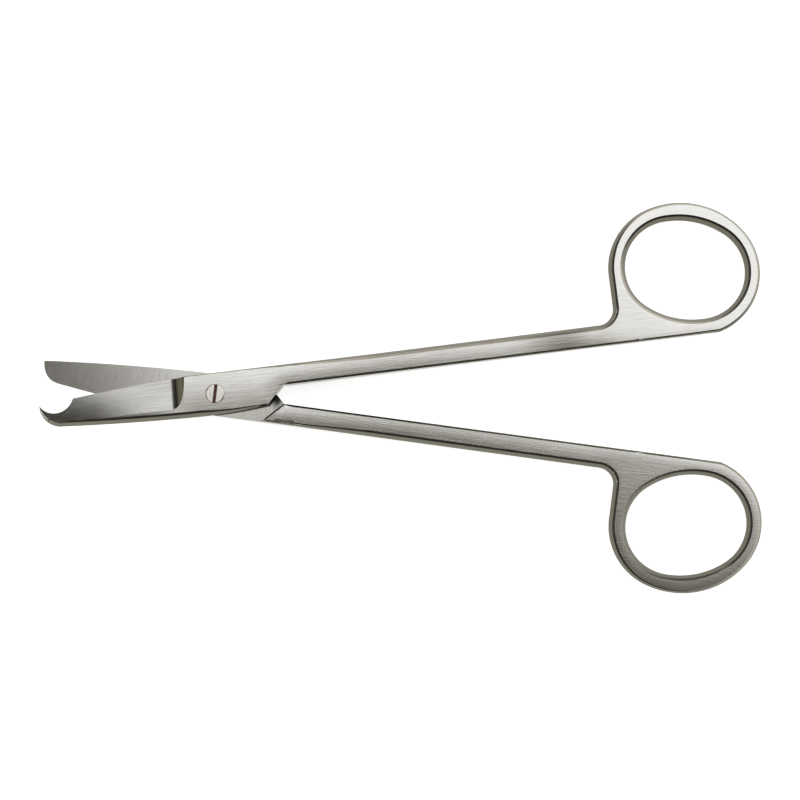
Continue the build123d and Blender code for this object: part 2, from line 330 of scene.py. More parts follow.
def blade_lines(hooked):
    """Lower and upper line of blade and joint, matched station by station from tip to notch: the
    lower is an arc through three points with tangent arcs at its ends, the upper the mouth's
    circle or the blunt nose, a bowed arc and straights, and stations crowd as a sine to the end
    of the scoop."""
    end = HOOK_SPINE_END if hooked else PLAIN_TIP
    spine = arc_through(SPINE_START, SPINE_MIDDLE, end, 3000)
    lap_arc = arc_from(SPINE_START, spine[0] - spine[1], NOTCH_CORNER, 300)
    line = joined(spine[::-1], lap_arc)
    steep = (STEEP_EDGE, float(edge_height(STEEP_EDGE)))
    if hooked:
        rim = arc_from(spine[-1], spine[-1] - spine[-2], HOOK_TIP, 600)
        lower = joined(rim[::-1], line)
        tip, corner, centre = (np.array(v) for v in (HOOK_TIP, HOOK_CORNER, MOUTH_CENTRE))
        ahead = (corner - tip) / np.hypot(*(corner - tip))
        reach = (centre - tip) @ ahead
        half = sqrt(MOUTH_RADIUS**2 - ((centre - tip) @ (centre - tip) - reach**2))
        left, right = tip + (reach - half) * ahead, tip + (reach + half) * ahead
        bottom = centre - (0, MOUTH_RADIUS)
        mouth = arc_through(left, bottom, right, 801)
        front = lower[: np.argmax((lower[:, 0] > bottom[0]) & (lower[:, 1] < 0)) + 1]
        down = mouth[: np.argmin(mouth[:, 1]) + 1]
        up = mouth[np.argmin(mouth[:, 1]) :]
        beds, tops = [spaced(front, TIP_STATIONS)], [spaced(down, TIP_STATIONS)]
        along = at_x(line, np.linspace(front[-1, 0], right[0], MOUTH_STATIONS))
        beds.append(np.concatenate([front[-1:], along[1:]]))
        tops.append(spaced(up, MOUTH_STATIONS))
        start = corner
    else:
        beds = [at_x(line, np.linspace(PLAIN_TIP[0], PLAIN_EDGE[0], NOSE_STATIONS))]
        tops = [spaced(nose_line(600), NOSE_STATIONS)]
        start = np.array(PLAIN_EDGE)
    bow = arc_through(start, EDGE_BOW, EDGE_END, 2000)
    edge = joined(bow, np.array([EDGE_END, (LAP_REACH, JOINT_EDGE), steep]))
    sine = np.sin(np.linspace(0, np.pi / 2, SCOOP_STATIONS))
    upper_x = np.concatenate([
        np.linspace(start[0], CROWN_START, EDGE_STATIONS),
        (CROWN_START + SCOOP_DEPTH * sine)[1:],
        np.linspace(SCOOP_END, -PIVOT_BLOCK, NEAR_STATIONS)[1:],
        np.linspace(-PIVOT_BLOCK, PIVOT_BLOCK, PIVOT_STATIONS)[1:],
        np.linspace(PIVOT_BLOCK, SHOULDER_TOP, NEAR_STATIONS)[1:],
        np.linspace(SHOULDER_TOP + BEVEL_REACH, STEEP_EDGE, LAP_STATIONS),
    ])
    lower_x = np.where(
        upper_x > PIVOT_BLOCK,
        np.interp(upper_x, [PIVOT_BLOCK, STEEP_EDGE], [PIVOT_BLOCK, NOTCH_CORNER[0]]),
        upper_x,
    )
    beds.append(at_x(line, lower_x))
    tops.append(at_x(edge, upper_x))
    if hooked:
        return tuple(np.concatenate([run[0], run[1][1:], run[2]]) for run in (beds, tops))
    return joined(*beds), joined(*tops)


def ring_place():
    """Centre of the ring, where its back stands, where that back is tangent, and its hole's
    centre: the back's end arc touches the upright through the web's fillet."""
    length, breadth, share, lean = RING_SIZE
    excess = (length - breadth) / 2
    end = breadth / 2 - share * excess
    growth = (1 + 2 * share) / (2 * share) * excess
    back = SHANK_END + FOOT_LENGTH + WEB_FILLET
    offset = length / 2 - end
    centre = np.array([
        back + end + offset * cos(lean), RING_LOW + breadth / 2 + growth * (1 - cos(lean)),
    ])
    return centre, back, centre[1] + offset * sin(lean), centre + RING_CENTRE_OFFSET


def handle_lines(steep_end):
    """Lower and upper line of the shank, matched, to the web's slanting line, and the ring's
    outline from the web's fillet clockwise round to the same line's foot."""
    centre, back, rise, hole = ring_place()
    fillet_centre = np.array([back - WEB_FILLET, OUTER + WEB_FILLET])
    first, second = (
        fillet_centre + WEB_FILLET * np.stack([np.cos(turn), np.sin(turn)], 1)
        for turn in (
            np.linspace(-np.pi / 2, -np.pi / 4, FILLET_STATIONS),
            np.linspace(-np.pi / 4, 0, FILLET_STATIONS),
        )
    )
    after_steep = np.linspace(steep_end[0] + BEVEL_REACH, first[0, 0], SHANK_STATIONS)
    upper_x = np.concatenate([steep_end[:1], after_steep])
    upper_y = np.where(upper_x > SHANK_END, OUTER, edge_height(upper_x))
    upper = joined(np.stack([upper_x, upper_y], 1), first)
    web_foot = back + WEB_FOOT_PAST_BACK
    after_kink = np.linspace(KINK[0] + BEVEL_REACH, web_foot, len(upper) - 1)
    lower_x = np.concatenate([KINK[:1], after_kink])
    lower = np.stack([lower_x, np.full(len(upper), INNER)], 1)
    rim = oval(*RING_SIZE, 6001) + centre
    full_turn = np.linspace(0, 2 * np.pi, len(rim))
    lean = RING_SIZE[3]
    back_turn, low_turn = np.pi + lean, -np.pi / 2 + lean
    around, tail = (
        np.stack([np.interp(turn % (2 * np.pi), full_turn, rim[:, k]) for k in (0, 1)], 1)
        for turn in (
            np.linspace(back_turn, low_turn + TAIL_TURN, 4001),
            np.linspace(low_turn + TAIL_TURN, low_turn, 2001),
        )
    )
    tail = tail[tail[:, 1] > INNER]
    tail[-1, 1] = INNER
    foot = np.linspace(tail[-1], (web_foot, INNER), FOOT_STATIONS)
    side = np.linspace(second[-1], (back, rise), SIDE_STATIONS)
    ring = joined(second, side, spaced(joined(around, tail), RING_STATIONS), foot)
    return lower, upper, ring, hole


def notch_line():
    """Free edge of the lap from the corner to the kink, its first points across the rounding."""
    start, end = np.array(NOTCH_CORNER), np.array(KINK)
    low = NOTCH_ROUND / np.hypot(*(end - start))
    share = np.concatenate([
        low * round_steps(LOW_STEPS), np.linspace(low, 1, NOTCH_STEPS - LOW_STEPS + 1)[1:],
    ])
    return start + share[:, None] * (end - start)


def nearest(points, line, widths, drops):
    """Distance of points to a line of many short pieces, and the rounding's width and drop at
    the nearest place: the nearest vertex is found first, then its two neighbouring pieces."""
    distance, width, drop = (np.empty(len(points)) for _ in range(3))
    for part in np.array_split(np.arange(len(points)), max(1, len(points) // 2000)):
        p = points[part]
        gap = (p[:, None, 0] - line[:, 0]) ** 2 + (p[:, None, 1] - line[:, 1]) ** 2
        near = np.argmin(gap, axis=1)
        best = np.full(len(p), np.inf)
        for before, after in ((near - 1, near), (near, near + 1)):
            low, high = np.clip(before, 0, len(line) - 1), np.clip(after, 0, len(line) - 1)
            run = line[high] - line[low]
            size = np.maximum((run**2).sum(1), 1e-12)
            share = np.clip(((p - line[low]) * run).sum(1) / size, 0, 1)
            gap = np.hypot(*(line[low] + share[:, None] * run - p).T)
            closer = gap < best
            best = np.where(closer, gap, best)
            here_width = widths[low] * (1 - share) + widths[high] * share
            here_drop = drops[low] * (1 - share) + drops[high] * share
            width[part] = np.where(closer, here_width, width[part])
            drop[part] = np.where(closer, here_drop, drop[part])
        distance[part] = best
    return distance, width, drop


def reach_share(start, end, line, widths):
    """Share of each column, from start towards end, at which its distance to a line has grown to
    the rounding's width there: looked up on a fine row of trial shares."""
    share = ROUND_TRIALS
    trial = start[:, None] + share[None, :, None] * (end - start)[:, None]
    distance, width, _ = nearest(trial.reshape(-1, 2), line, widths, widths)
    past = (distance - width).reshape(len(start), -1)
    first = np.maximum(np.argmax(past > 0, axis=1), 1)
    row = np.arange(len(start))
    before, after = past[row, first - 1], past[row, first]
    return share[first] - (share[1] - share[0]) * np.clip(after / (after - before), 0, 1)


def rounding(distance, width, drop):
    """How far a rounded edge lies under the face: a narrow facet of small slope, then a steep
    flank that drops to the outline as a power of its own share."""
    share = np.clip(1 - distance / np.maximum(width, 1e-6), 0, 1)
    facet = FACET_SLOPE * np.minimum(width, drop)
    flank = np.clip((share - FACET_SHARE) / (1 - FACET_SHARE), 0, 1) ** FLANK_POWER
    return facet * np.minimum(share, FACET_SHARE) + (drop - facet * FACET_SHARE) * flank


def face_level(x):
    """Outer face over the mating plane: a crowned blade, a level joint and a tapering shank."""
    taper = np.clip((x - LAP_REACH) / (SHANK_END - LAP_REACH), 0, 1)
    reach = BLADE_REACH - CROWN_START
    radius = (reach**2 + (LAP - TIP_THICKNESS) ** 2) / (2 * (LAP - TIP_THICKNESS))
    ahead = np.clip(CROWN_START - x, 0, None)
    return LAP + (RING_HALF - LAP) * taper - (radius - np.sqrt(radius**2 - ahead**2))


def ground_level(x, y):
    """Ground face: it slopes to the cutting edge and sinks towards the tip as the square of the
    share of the blade, and ends at the joint in a wall that rises as a squarish ellipse."""
    base = LAP - GRIND_SLOPE * (y + GRIND_LINE)
    end = GRIND_TIP - GRIND_TIP_SLOPE * (y + GRIND_TIP_LINE)
    share = np.clip((CROWN_START - x) / (CROWN_START - BLADE_REACH), 0, None)
    into = np.clip((x - CROWN_START) / SCOOP_DEPTH, 0, 1)
    wall = SCOOP_RISE * (1 - (1 - into**SCOOP_SQUARENESS) ** (1 / SCOOP_SQUARENESS))
    return np.where(x > SCOOP_END - 1e-6, np.inf, base + share**2 * (end - base) + wall)


def crease_share(lower, upper, low_share, widths, drops):
    """Share of each column at which the ground face meets the blade's flat, found where the
    lower of the two faces changes; right of the ground face it eases back to the middle."""
    share = BORDER_TRIALS
    x, y = (lower[:, None, k] + share[None, :] * (upper - lower)[:, None, k] for k in (0, 1))
    breadth = np.hypot(*(upper - lower).T)[:, None]
    flat = face_level(x) - rounding(share * breadth, widths[:, None], drops[:, None])
    depth = flat - np.minimum(ground_level(x, y), NO_GROUND)
    below = depth > 0
    first = np.maximum(np.argmax(below, axis=1), 1)
    row = np.arange(len(first))
    before, after = depth[row, first - 1], depth[row, first]
    part = np.clip(-before / np.where(after - before == 0, 1.0, after - before), 0, 1)
    first = share[first - 1] + (share[first] - share[first - 1]) * part
    ease = np.clip((-PIVOT_BLOCK - upper[:, 0]) / (-PIVOT_BLOCK - SCOOP_END), 0, 1)
    found = np.where(below.any(axis=1), first, BORDER_SHARE + BORDER_GROWTH * ease)
    return np.clip(found, low_share + BORDER_MARGIN, BORDER_END)


def shank_spread(low_share, high_share, low_steps=SHANK_LOW):
    """Shares across a column of shank or ring: rounded edge, flat, rounded edge."""
    low, high = low_share[:, None], high_share[:, None]
    return np.concatenate([
        low * round_steps(low_steps),
        low + (1 - high - low) * np.array(MIDDLE_SHARES),
        1 - high * round_steps(HIGH_STEPS)[::-1][1:],
    ], axis=1)


def blade_spread(low, crease, high):
    """Shares across a column of blade or joint: rounded spine, flat, ground face, edge."""
    low, crease, high = low[:, None], crease[:, None], 1 - high[:, None]
    return np.concatenate([
        low * round_steps(LOW_STEPS),
        low + (crease - low) * np.array(FLAT_SHARES),
        crease + (high - crease) * np.linspace(0, 1, GROUND_STEPS + 1)[1:],
        1 - (1 - high) * round_steps(HIGH_STEPS)[::-1][1:],
    ], axis=1)


def columns(lower, upper, shares):
    """Grid of points at shares of the way from each lower to its upper point."""
    return lower[:, None] + shares[:, :, None] * (upper - lower)[:, None]


class Half:
    """Lines, rounding and height of one half, shared by all its patches."""

    def __init__(self, hooked, form):
        """The user's form is in metres, and all else of a half in millimetres."""
        edge_width, edge_drop = form.edge_width / MM, form.edge_drop / MM
        self.hole_width, self.hole_drop = form.hole_width / MM, form.hole_drop / MM
        self.crown = form.crown / MM
        self.twist = form.twist if hooked else 0.0
        self.lower, self.upper = blade_lines(hooked)
        self.shank_low, self.shank_high, self.ring, self.hole = handle_lines(self.upper[-1])
        self.hole_line = oval(*HOLE_SIZE, 2401) + self.hole
        steep = edge_drop / edge_width
        self.spine = np.interp(
            self.lower[:, 0], [SPINE_START[0], NOTCH_CORNER[0]], [edge_width, NOTCH_ROUND],
        )
        top_widths = [CUTTING_ROUND[hooked], *JOINT_ROUND, SHOULDER_ROUND]
        self.top_edge = np.interp(self.upper[:, 0], TOP_STOPS, top_widths)
        shank = np.interp(
            self.shank_high[:, 0], [STEEP_EDGE, SHANK_EASE_END], [SHOULDER_ROUND, edge_width],
        )
        past_kink = [KINK[0], KINK[0] + INNER_EASE]
        foot = np.interp(self.shank_low[:, 0], past_kink, [SHARP, INNER_ROUND])
        foot_drop = np.interp(self.shank_low[:, 0], past_kink, [0.0, INNER_DROP])
        bearing = np.arctan2(*(self.ring - ring_place()[0])[:, ::-1].T) % (2 * np.pi)
        stops = np.radians(RIM_BEARINGS)
        ring, ring_drop = (
            np.interp(bearing, stops, [edge_width if size is None else size for size in row])
            for row in (RIM_WIDTHS, RIM_DROPS)
        )
        after_fillet = np.linspace(0, 1, len(self.ring)) < FILLET_SHARE
        ring = np.where(after_fillet, edge_width, ring)
        ring_drop = np.where(after_fillet, edge_drop, ring_drop * steep)
        notch = notch_line()
        none = np.zeros(len(notch))
        self.outline = np.concatenate([
            self.lower, notch, self.shank_low, self.ring[::-1], self.shank_high[::-1],
            self.upper[::-1],
        ])
        self.widths = np.concatenate([
            self.spine, none + SHARP, foot, ring[::-1], shank[::-1], self.top_edge[::-1],
        ])
        self.drops = np.concatenate([
            self.spine * steep, none, foot_drop, ring_drop[::-1], shank[::-1] * steep,
            self.top_edge[::-1],
        ])

    def from_hole(self, points):
        """Distance of points to the hole's line."""
        none = np.zeros(len(self.hole_line))
        return nearest(points, self.hole_line, none, none)[0]

    def outer(self, grid):
        """Height of the outer face at a grid of places: the level less the rounding at outline
        and hole, less a crown that falls off as the square towards an edge, plus a twist that
        grows from a line and fades as a bell to either side, and never over the ground face."""
        points = grid.reshape(-1, 2)
        x, y = points.T
        distance, width, drop = nearest(points, self.outline, self.widths, self.drops)
        face = face_level(x)
        level = face - rounding(distance, width, np.minimum(drop, DEEPEST * face))
        by_hole = np.full(len(points), FAR)
        near = x > SHANK_END
        if near.any():
            by_hole[near] = self.from_hole(points[near])
        level -= rounding(by_hole, self.hole_width, self.hole_drop)
        reach = np.interp(x, CROWN_STOPS, CROWN_REACHES)
        crown = self.crown * np.interp(x, CROWN_PLACES, CROWN_SHARES)
        level -= crown * (1 - np.clip(np.minimum(distance, by_hole) / reach, 0, 1)) ** 2
        bump = np.exp(-(((x - TWIST_MIDDLE) / TWIST_SPREAD) ** 2))
        level += self.twist * bump * (y - TWIST_LINE)
        return np.minimum(level, ground_level(x, y)).reshape(grid.shape[:-1])

    def banded(self, grid):
        """Whether each cell of a grid lies on the steep part of the rounding, which takes the edge
        finish and its painted shade.
        """
        middle = (grid[:-1, :-1] + grid[1:, :-1] + grid[1:, 1:] + grid[:-1, 1:]) / 4
        points = middle.reshape(-1, 2)
        distance, width, _ = nearest(points, self.outline, self.widths, self.drops)
        steep = 1 - distance / np.maximum(width, 1e-6) > FACET_SHARE
        near = points[:, 0] > SHANK_END
        if near.any():
            steep[near] |= 1 - self.from_hole(points[near]) / self.hole_width > FACET_SHARE
        return steep.reshape(middle.shape[:-1])

    def under(self, grid):
        """Height of the inner face of the handle: the outer one mirrored, and at the shoulder
        raised by as much as the place lies short of the bevel's end."""
        past = (grid[..., 0] + grid[..., 1] - LAP_REACH) / sqrt(2)
        return np.clip(SHOULDER_BEVEL - past, 0, SHOULDER_BEVEL) - self.outer(grid)


def lifted(grid, height):
    """Grid of places with their height as the third coordinate."""
    return np.concatenate([grid, np.broadcast_to(height, grid.shape[:-1])[..., None]], axis=-1)


def walls(line, *heights):
    """Upright wall along a line, through each row of heights."""
    return np.stack([lifted(line, h) for h in heights])


def banded_skin(half, grid, height):
    """A grid at its height as two patches: satin off the steep roundings, and on them the edge
    finish, darkened by painted shade.
    """
    band = half.banded(grid)
    return [("satin", lifted(grid, height), ~band), ("edge", lifted(grid, height), band)]


def station(line, x):
    """Number of the station of a line that lies at x."""
    return np.flatnonzero(np.isclose(line[:, 0], x))[0]


def blade_and_shank(half):
    """Grids of the blade with the joint and of the shank, their columns' shares, and the column
    in which they meet: past the pivot the joint's columns ease over to it by a smooth step."""
    low_line, high_line = half.lower, half.upper
    breadth = np.maximum(np.hypot(*(high_line - low_line).T), 1e-3)
    low_share = reach_share(low_line, high_line, low_line, half.spine)
    low_share = np.clip(low_share, 0, LOW_SHARE_END)
    high_share = np.clip(np.maximum(half.top_edge, HIGH_LEAST) / breadth, 0, HIGH_SHARE_END)
    crease = crease_share(low_line, high_line, low_share, half.spine, half.spine)
    shares = blade_spread(low_share, crease, high_share)
    blade = columns(low_line, high_line, shares)
    shank_shares = shank_spread(
        reach_share(half.shank_low, half.shank_high, half.outline, half.widths),
        reach_share(half.shank_high, half.shank_low, half.outline, half.widths),
    )
    shank = columns(half.shank_low, half.shank_high, shank_shares)
    last = np.concatenate([notch_line(), shank[0, 1:]])
    middle = station(high_line, PIVOT_BLOCK)
    ease = np.clip((np.arange(len(blade)) - middle) / (len(blade) - 1 - middle), 0, 1)
    bend = (ease**2 * (3 - 2 * ease))[:, None, None]
    return blade + bend * (last - blade[-1]), shares, shank, shank_shares, last


def seat_patch(half, loop, hooked):
    """Screw's seat within a loop on the joint: straight in to the broken edge of a round mouth,
    down the mouth and the bore, and straight out again over the mating face."""
    bearing = np.arctan2(loop[:, 1], loop[:, 0])
    circle = np.stack([np.cos(bearing), np.sin(bearing)], 1)
    if hooked:
        mouth, bore = HEAD_RADIUS + RUNNING_CLEARANCE, STEM_RADIUS + RUNNING_CLEARANCE
    else:
        mouth = bore = STEM_RADIUS + THREAD_CLEARANCE
    spread = np.linspace(0, 1, SEAT_RINGS)[:, None, None]
    into = loop + spread * (circle * (mouth + SEAT_BREAK) - loop)
    rings = [lifted(into, half.outer(into)), walls(circle * mouth, LAP - SEAT_BREAK)]
    if hooked:
        rings += [walls(circle * mouth, LAP - HEAD_DEPTH), walls(circle * bore, LAP - HEAD_DEPTH)]
    back = circle * bore + spread * (loop - circle * bore)
    return np.concatenate([*rings, lifted(back, 0.0)])


def ring_patches(half, web_column):
    """Ring from its outline, closed across the web by the shank's last column, to its hole: a
    spoke runs straight from the outline to the hole's centre and ends at the hole."""
    outer_ring = np.concatenate([half.ring, web_column[1:]])
    spokes = outer_ring - half.hole
    hole_spokes = half.hole_line[:-1] - half.hole
    hole_bearing = np.arctan2(hole_spokes[:, 1], hole_spokes[:, 0])
    order = np.argsort(hole_bearing)
    radius = np.interp(
        np.arctan2(spokes[:, 1], spokes[:, 0]), hole_bearing[order],
        np.hypot(*hole_spokes[order].T), period=2 * np.pi,
    )
    inner_ring = half.hole + spokes * (radius / np.hypot(*spokes.T))[:, None]
    low = reach_share(half.ring, inner_ring[: len(half.ring)], half.outline, half.widths)
    low = np.concatenate([low, np.linspace(low[-1], low[0], SHANK_ACROSS + 1)[1:]])
    hole_widths = np.full(len(half.hole_line), half.hole_width)
    high = reach_share(inner_ring, outer_ring, half.hole_line, hole_widths)
    rim = columns(outer_ring, inner_ring, shank_spread(low, high, LOW_STEPS))
    hole_wall = walls(inner_ring, half.outer(inner_ring), 0.0, half.under(inner_ring))
    return [
        *banded_skin(half, rim, half.outer(rim)), *banded_skin(half, rim, half.under(rim)),
        ("edge", hole_wall, None),
    ]


def half_patches(hooked, form):
    """Closed skin of one half as patches: grids of points, each with a finish for its cells. A
    column runs straight from the lower to the upper line, and its points stand at shares of it."""
    half = Half(hooked, form)
    low_line, high_line = half.lower, half.upper
    blade, shares, shank, shank_shares, last = blade_and_shank(half)
    top = lifted(blade, half.outer(blade))
    first, middle = station(high_line, -PIVOT_BLOCK), station(high_line, PIVOT_BLOCK)
    shoulder = station(high_line, SHOULDER_TOP)
    floor, ceiling = SEAT_ROWS
    loop = np.concatenate([
        blade[first:middle, floor], blade[middle, floor:ceiling],
        blade[middle:first:-1, ceiling], blade[first, ceiling:floor - 1:-1],
    ])
    ground = np.zeros((len(blade) - 1, ACROSS), bool)
    scoop_end = np.flatnonzero(high_line[:, 0] > SCOOP_END - 1e-3)[0]
    ground[:scoop_end, LOW_STEPS + len(FLAT_SHARES):] = True
    # The scoop's wall takes the edge finish: rougher, and darkened by painted shade
    wall = ground & (high_line[:-1, 0] > SCOOP_WALL)[:, None]
    hidden = np.zeros_like(ground)
    hidden[first:middle, floor:ceiling] = True
    band = half.banded(blade)
    skin = [
        ("satin", top, ~ground & ~hidden & ~band), ("ground", top, ground & ~wall),
        ("edge", top, wall | (~ground & ~hidden & band)),
        ("mating", lifted(blade[: shoulder + 1], 0.0), ~hidden[:shoulder]),
        ("satin", seat_patch(half, loop, hooked), None),
        *banded_skin(half, shank, half.outer(shank)),
    ]

    # Lap from the shoulder's end of the joint to its free edge, and the shoulder's ledge
    edge_line = np.array([KINK, (SHOULDER_TOP, JOINT_EDGE)])
    size = np.hypot(*(edge_line[1] - edge_line[0]))
    stations = shank_spread(np.array([NOTCH_ROUND / size]), np.array([LEDGE_ROUND / size]))
    ledge = columns(edge_line[:1], edge_line[1:], stations)[0]
    bent = np.concatenate([last[:NOTCH_STEPS], ledge])
    run = 1 - (1 - np.linspace(0, 1, len(blade) - shoulder)[:, None, None]) ** LAP_CROWDING
    plain = (1 - run) * blade[shoulder] + run * bent
    share = shares[shoulder][None, :, None]
    plate = plain + (1 - share) * (low_line[shoulder:, None] - plain[:, :1])
    fade = np.zeros(SHANK_ACROSS + NOTCH_STEPS + 1)
    ending = np.clip(np.linspace(NOTCH_STEPS, 0, NOTCH_STEPS) / LAP_BEVEL_FADE, 0, 1)
    fade[:NOTCH_STEPS] = form.lap_bevel / MM * ending
    bevelled = fade * np.clip((run[..., 0] - LAP_BEVEL_START) / (1 - LAP_BEVEL_START), 0, 1)
    skin.append(("mating", lifted(plate, bevelled), None))
    skin.append(("edge", walls(ledge, 0.0, half.under(ledge)), None))

    # Underside of the handle: a fan from the kink over the shoulder, then the shank, then the ring
    start = half.shank_low[1]
    tops = np.concatenate([high_line[shoulder + 1:], half.shank_high[1:2]])
    fan_breadth = np.hypot(*(tops - start).T)
    fan_high = np.interp(tops[:, 0], [FAN_START, STEEP_EDGE], [LEDGE_ROUND, SHOULDER_ROUND])
    fan_shares = shank_spread(NOTCH_ROUND / fan_breadth, fan_high / fan_breadth)
    fan_shares[-1] = shank_shares[1]
    fan = columns(np.repeat(start[None], len(tops), 0), tops, fan_shares)
    below = np.concatenate([ledge[None], fan, shank[2:]])
    skin += banded_skin(half, below, half.under(below)) + ring_patches(half, shank[-1])

    # Walls around the outline: handle from the shoulder round the ring to the kink, then blade
    long_way = np.concatenate([
        high_line[shoulder:], half.shank_high[1:], half.ring[1:], half.shank_low[-2::-1],
    ])
    skin.append(("edge", walls(long_way, half.outer(long_way), 0.0, half.under(long_way)), None))
    tip = [blade[0, ::-1][1:-1]] if hooked else []
    short_way = np.concatenate([high_line[shoulder::-1], *tip, low_line, last[1: NOTCH_STEPS + 1]])
    foot = np.zeros(len(short_way))
    foot[-NOTCH_STEPS:] = fade[1: NOTCH_STEPS + 1]
    foot[-NOTCH_STEPS - 1] = fade[0]
    skin.append(("edge", walls(short_way, half.outer(short_way), foot), None))
    return skin


def screw_patches():
    """Skin of the screw: head faces of chords beside the slot, the slot's walls and floor, the
    head's side, the seat, the stem and its end."""
    top = 2 * LAP
    floor, seat = top - SLOT_DEPTH, top - HEAD_DEPTH
    turn = np.linspace(np.arcsin((SLOT_HALF + SLOT_ROUND) / HEAD_RADIUS), np.pi / 2, 17)
    beside = np.concatenate([
        SLOT_HALF + SLOT_ROUND * round_steps(5), HEAD_RADIUS * np.sin(turn)[1:],
    ])
    outer_share = 0.09
    ends = outer_share * round_steps(6)
    share = np.concatenate([
        ends, np.linspace(outer_share, 1 - outer_share, 9)[1:-1], 1 - ends[::-1],
    ])

    def chords(rows):
        """Points across the head at each distance from the slot's middle line."""
        reach = np.sqrt(np.clip(HEAD_RADIUS**2 - rows**2, 0, None))
        along = reach[:, None] * (2 * share - 1)
        return np.stack([along, np.repeat(rows[:, None], len(share), 1)], -1)

    def face(grid):
        """Head's face, rounded at the rim and at the slot."""
        rim = HEAD_RADIUS - np.hypot(grid[..., 0], grid[..., 1])
        slot = np.abs(grid[..., 1]) - SLOT_HALF
        return top - rounding(rim, HEAD_ROUND, HEAD_DROP) - rounding(slot, SLOT_ROUND, SLOT_DROP)

    patches, loop = [], []
    for side in (1, -1):
        grid = chords(beside * side)
        patches.append(("turned", lifted(grid, face(grid)), None))
        patches.append(("slot", walls(grid[0], face(grid[0]), floor), None))
        rim = np.concatenate([grid[:, -1], grid[::-1, 0]])[:: side]
        patches.append(("turned", walls(rim, face(rim), floor, seat), None))
        loop.append(rim)
    bottom = chords(np.linspace(-SLOT_HALF, SLOT_HALF, 6))
    patches.append(("slot", lifted(bottom, floor), None))
    for end, order in ((0, slice(None, None, -1)), (-1, slice(None))):
        patches.append(("slot", walls(bottom[order, end], floor, seat), None))
    around = np.concatenate([loop[0], bottom[::-1, 0][1:-1], loop[1], bottom[:, -1][1:]])
    bearing = np.arctan2(around[:, 1], around[:, 0])
    stem = STEM_RADIUS * np.stack([np.cos(bearing), np.sin(bearing)], 1)
    under = ((around, seat), (stem, seat), (stem, 0.0), (stem * 0.5, 0.0), (stem * 0.0, 0.0))
    patches.append(("turned", np.concatenate([walls(*row) for row in under]), None))
    return patches


def placed(points, hooked):
    """A half's own places, in millimetres, where the half lies, in metres: the plain half is
    turned over about its own length."""
    x, y, z = points.T
    along = x * cos(HALF_TURN) - y * sin(HALF_TURN)
    side = x * sin(HALF_TURN) + y * cos(HALF_TURN)
    way = 1 if hooked else -1
    return np.stack([along, way * side, LAP + way * z], 1) * MM


def screwed_in(points):
    """The screw's own places, slot along x, turned to where the slot points, in metres."""
    x, y, z = points.T
    c, s = cos(SLOT_TURN), sin(SLOT_TURN)
    return np.stack([x * c - y * s, x * s + y * c, z], 1) * MM


def skin_object(name, patches, place, steels, node):
    """One closed mesh from patches: their cells as quads, shared points merged, faces outwards,
    smooth up to the crease angle."""
    points, faces, kinds, start = [], [], [], 0
    names = list(steels)
    for kind, grid, cells in patches:
        rows, cols = grid.shape[:2]
        at = np.arange(rows * cols).reshape(rows, cols) + start
        quads = np.stack([at[:-1, :-1], at[1:, :-1], at[1:, 1:], at[:-1, 1:]], -1)
        quads = quads.reshape(-1, 4) if cells is None else quads[cells]
        points.append(grid.reshape(-1, 3))
        faces.append(quads)
        kinds.append(np.full(len(quads), names.index(kind)))
        start += rows * cols
    points, faces, kinds = (np.concatenate(part) for part in (points, faces, kinds))
    used = np.unique(faces)
    renumber = np.zeros(len(points), int)
    renumber[used] = np.arange(len(used))
    mesh = bpy.data.meshes.new(name)
    mesh.from_pydata(place(points[used]), [], renumber[faces])
    mesh.polygons.foreach_set("material_index", kinds.astype(np.int32))
    for steel in steels.values():
        mesh.materials.append(steel)
    work = bmesh.new()
    work.from_mesh(mesh)
    bmesh.ops.remove_doubles(work, verts=work.verts, dist=MERGE * MM)
    bmesh.ops.dissolve_degenerate(work, edges=work.edges, dist=MERGE * MM)
    bmesh.ops.recalc_face_normals(work, faces=work.faces)
    work.to_mesh(mesh)
    work.free()
    mesh.shade_smooth()
    mesh.set_sharp_from_angle(angle=CREASE)
    made = bpy.data.objects.new(name, mesh)
    bpy.context.scene.collection.objects.link(made)
    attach(made, frame["nodes"][node]["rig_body"])
    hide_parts(node)
    return made


def length_setting(name, description, default):
    """Property for a length above zero, its default given in millimetres."""
    return FloatProperty(
        name=name, description=description, default=default * MM, min=0.001 * MM,
        unit="LENGTH", precision=3,
    )


def colour_setting(name, description, default):
    """Property for a colour."""
    return FloatVectorProperty(
        name=name, description=description, subtype="COLOR", size=3, default=default, min=0.0,
        max=1.0,
    )


class ScissorsForm(PropertyGroup):
    """Finishing cuts of the two halves."""

    edge_width: length_setting("Edge width", "Width of the long rounded edges", 1.05)
    edge_drop: length_setting("Edge drop", "How far the long rounded edges fall", 1.4)
    hole_width: length_setting("Hole width", "Width of the rounded edge at the ring's hole", 1.0)
    hole_drop: length_setting("Hole drop", "How far the edge around the hole falls", 1.25)
    lap_bevel: length_setting("Lap bevel", "Bevel of the lap's free edge at the notch", 0.45)
    crown: length_setting("Crown", "Rise of the shank's face over its edges", 0.025)
    twist: FloatProperty(
        name="Twist",
        description="Turn of the hooked half's shank about its own length, ahead of its ring",
        default=0.035,
        subtype="ANGLE",
    )


